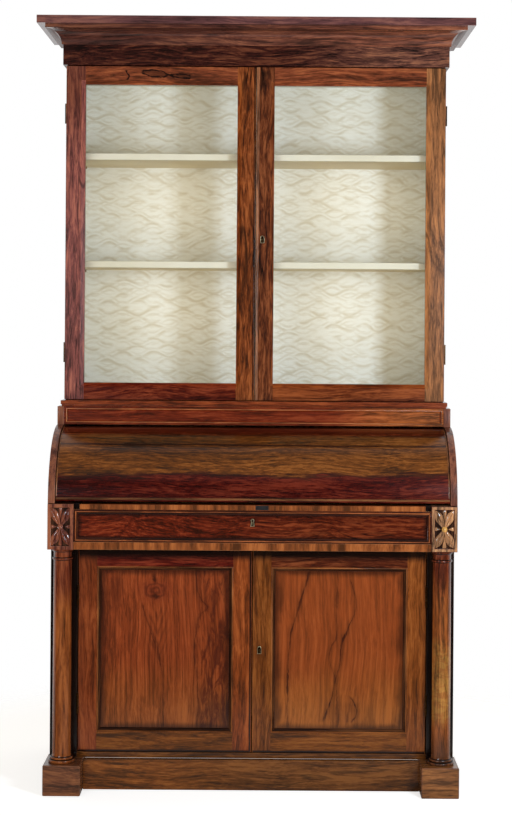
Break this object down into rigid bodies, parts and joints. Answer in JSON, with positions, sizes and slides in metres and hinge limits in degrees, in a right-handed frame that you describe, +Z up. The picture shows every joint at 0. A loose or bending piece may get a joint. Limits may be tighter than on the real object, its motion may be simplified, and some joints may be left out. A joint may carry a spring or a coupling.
{
  "type": "secretary bookcase",
  "caption": "Free-standing secretary bookcase: glazed bookcase over a cylinder-front writing desk with a slide and drawer, above a panelled cupboard between columns.",
  "frame": {"origin": "middle of the footprint on the floor", "axes": "+Z up, the front faces -Y, +X to the right as seen from the front"},
  "size_m": [1.298, 0.58, 2.262],
  "materials": {
    "rosewood_upright": "french polished rosewood, grain upright",
    "rosewood_lengthwise": "french polished rosewood, grain along the piece",
    "cornice_rosewood": "french polished rosewood, dark, grain along the piece",
    "cylinder_veneer": "french polished figured rosewood veneer",
    "drawer_veneer": "french polished rosewood veneer",
    "panel_veneer": "french polished figured rosewood veneer, grain upright",
    "cross_banding": "french polished cross-banded rosewood, lighter",
    "carved_rosewood": "polished carved rosewood",
    "carcass_wood": "waxed plain mahogany",
    "painted_shelf": "cream paint",
    "lining_paper": "cream paper printed with tan waves",
    "window_glass": "clear old window glass",
    "brass": "old polished brass",
    "iron": "blackened iron",
    "desk_leather": "green skiver leather"
  },
  "bodies": {
    "case": {"cornice_moulding": "cornice_rosewood", "cornice_top_board": "cornice_rosewood", "bookcase_sides": "rosewood_upright", "bookcase_top_board": "carcass_wood", "bookcase_bottom_board": "carcass_wood", "bookcase_back_panel": "carcass_wood", "bookcase_lining": "lining_paper", "bookcase_shelves": "painted_shelf", "shelf_pegs": "carcass_wood", "case_top_board": "rosewood_lengthwise", "frieze_board": "rosewood_lengthwise", "case_sides": "rosewood_upright", "case_back_panel": "carcass_wood", "slide_bed": "carcass_wood", "slide_and_drawer_runners": "carcass_wood", "drawer_bed": "cross_banding", "corner_blocks": "carved_rosewood", "pigeonhole_case": "carcass_wood", "cupboard_stiles": "rosewood_upright", "cupboard_floor": "rosewood_lengthwise", "cupboard_shelf": "carcass_wood", "columns": "rosewood_upright", "plinth_boards": "rosewood_lengthwise", "foot_blocks": "rosewood_lengthwise", "case_hinge_leaves": "brass"},
    "left_glazed_door": {"left_glazed_door_stiles": "rosewood_upright", "left_glazed_door_rails": "rosewood_lengthwise", "left_glazed_door_pane": "window_glass", "left_glazed_door_glazing_beads": "rosewood_upright", "left_glazed_door_hinge_leaves": "brass"},
    "right_glazed_door": {"right_glazed_door_stiles": "rosewood_upright", "right_glazed_door_rails": "rosewood_lengthwise", "right_glazed_door_pane": "window_glass", "right_glazed_door_glazing_beads": "rosewood_upright", "right_glazed_door_hinge_leaves": "brass", "meeting_astragal": "rosewood_upright", "glazed_door_lock": "brass"},
    "glazed_lock_bolt": {"glazed_door_bolt": "brass"},
    "cylinder": {"cylinder_shell": "cylinder_veneer", "cylinder_nosing": "rosewood_lengthwise", "cylinder_arms": "iron"},
    "slide": {"writing_slide": "cross_banding", "writing_leather": "desk_leather", "slide_lock_plate": "iron"},
    "drawer": {"drawer_front": "drawer_veneer", "drawer_box": "carcass_wood", "drawer_lock": "brass"},
    "drawer_lock_bolt": {"drawer_bolt": "brass"},
    "left_cupboard_door": {"left_cupboard_door_stiles": "rosewood_upright", "left_cupboard_door_rails": "rosewood_lengthwise", "left_cupboard_door_panel": "panel_veneer", "left_cupboard_door_moulding": "rosewood_lengthwise", "left_cupboard_door_hinge_leaves": "brass"},
    "right_cupboard_door": {"right_cupboard_door_stiles": "rosewood_upright", "right_cupboard_door_rails": "rosewood_lengthwise", "right_cupboard_door_panel": "panel_veneer", "right_cupboard_door_moulding": "rosewood_lengthwise", "right_cupboard_door_hinge_leaves": "brass", "cupboard_door_lock": "brass"},
    "cupboard_lock_bolt": {"cupboard_door_bolt": "brass"}
  },
  "joints": [
    {"name": "left_glazed_door_hinge", "type": "hinge", "parent": "case", "child": "left_glazed_door", "pos_m": [-0.5723, -0.0275, 1.6], "axis": [0, 0, -1], "range_deg": [0, 170]},
    {"name": "right_glazed_door_hinge", "type": "hinge", "parent": "case", "child": "right_glazed_door", "pos_m": [0.5723, -0.0275, 1.6], "axis": [0, 0, 1], "range_deg": [0, 170]},
    {"name": "glazed_lock_throw", "type": "slide", "parent": "right_glazed_door", "child": "glazed_lock_bolt", "axis": [-1, 0, 0], "range_m": [0, 0.008]},
    {"name": "cylinder_pivot", "type": "hinge", "parent": "case", "child": "cylinder", "pos_m": [0, -0.064, 0.838], "axis": [-1, 0, 0], "range_deg": [0, 82]},
    {"name": "writing_slide_pull", "type": "slide", "parent": "case", "child": "slide", "axis": [0, -1, 0], "range_m": [0, 0.23]},
    {"name": "drawer_pull", "type": "slide", "parent": "case", "child": "drawer", "axis": [0, -1, 0], "range_m": [0, 0.34]},
    {"name": "drawer_lock_throw", "type": "slide", "parent": "drawer", "child": "drawer_lock_bolt", "axis": [0, 0, 1], "range_m": [0, 0.008]},
    {"name": "left_cupboard_door_hinge", "type": "hinge", "parent": "case", "child": "left_cupboard_door", "pos_m": [-0.50725, -0.1963, 0.4], "axis": [0, 0, -1], "range_deg": [0, 95]},
    {"name": "right_cupboard_door_hinge", "type": "hinge", "parent": "case", "child": "right_cupboard_door", "pos_m": [0.50725, -0.1963, 0.4], "axis": [0, 0, 1], "range_deg": [0, 95]},
    {"name": "cupboard_lock_throw", "type": "slide", "parent": "right_cupboard_door", "child": "cupboard_lock_bolt", "axis": [-1, 0, 0], "range_m": [0, 0.008]}
  ]
}
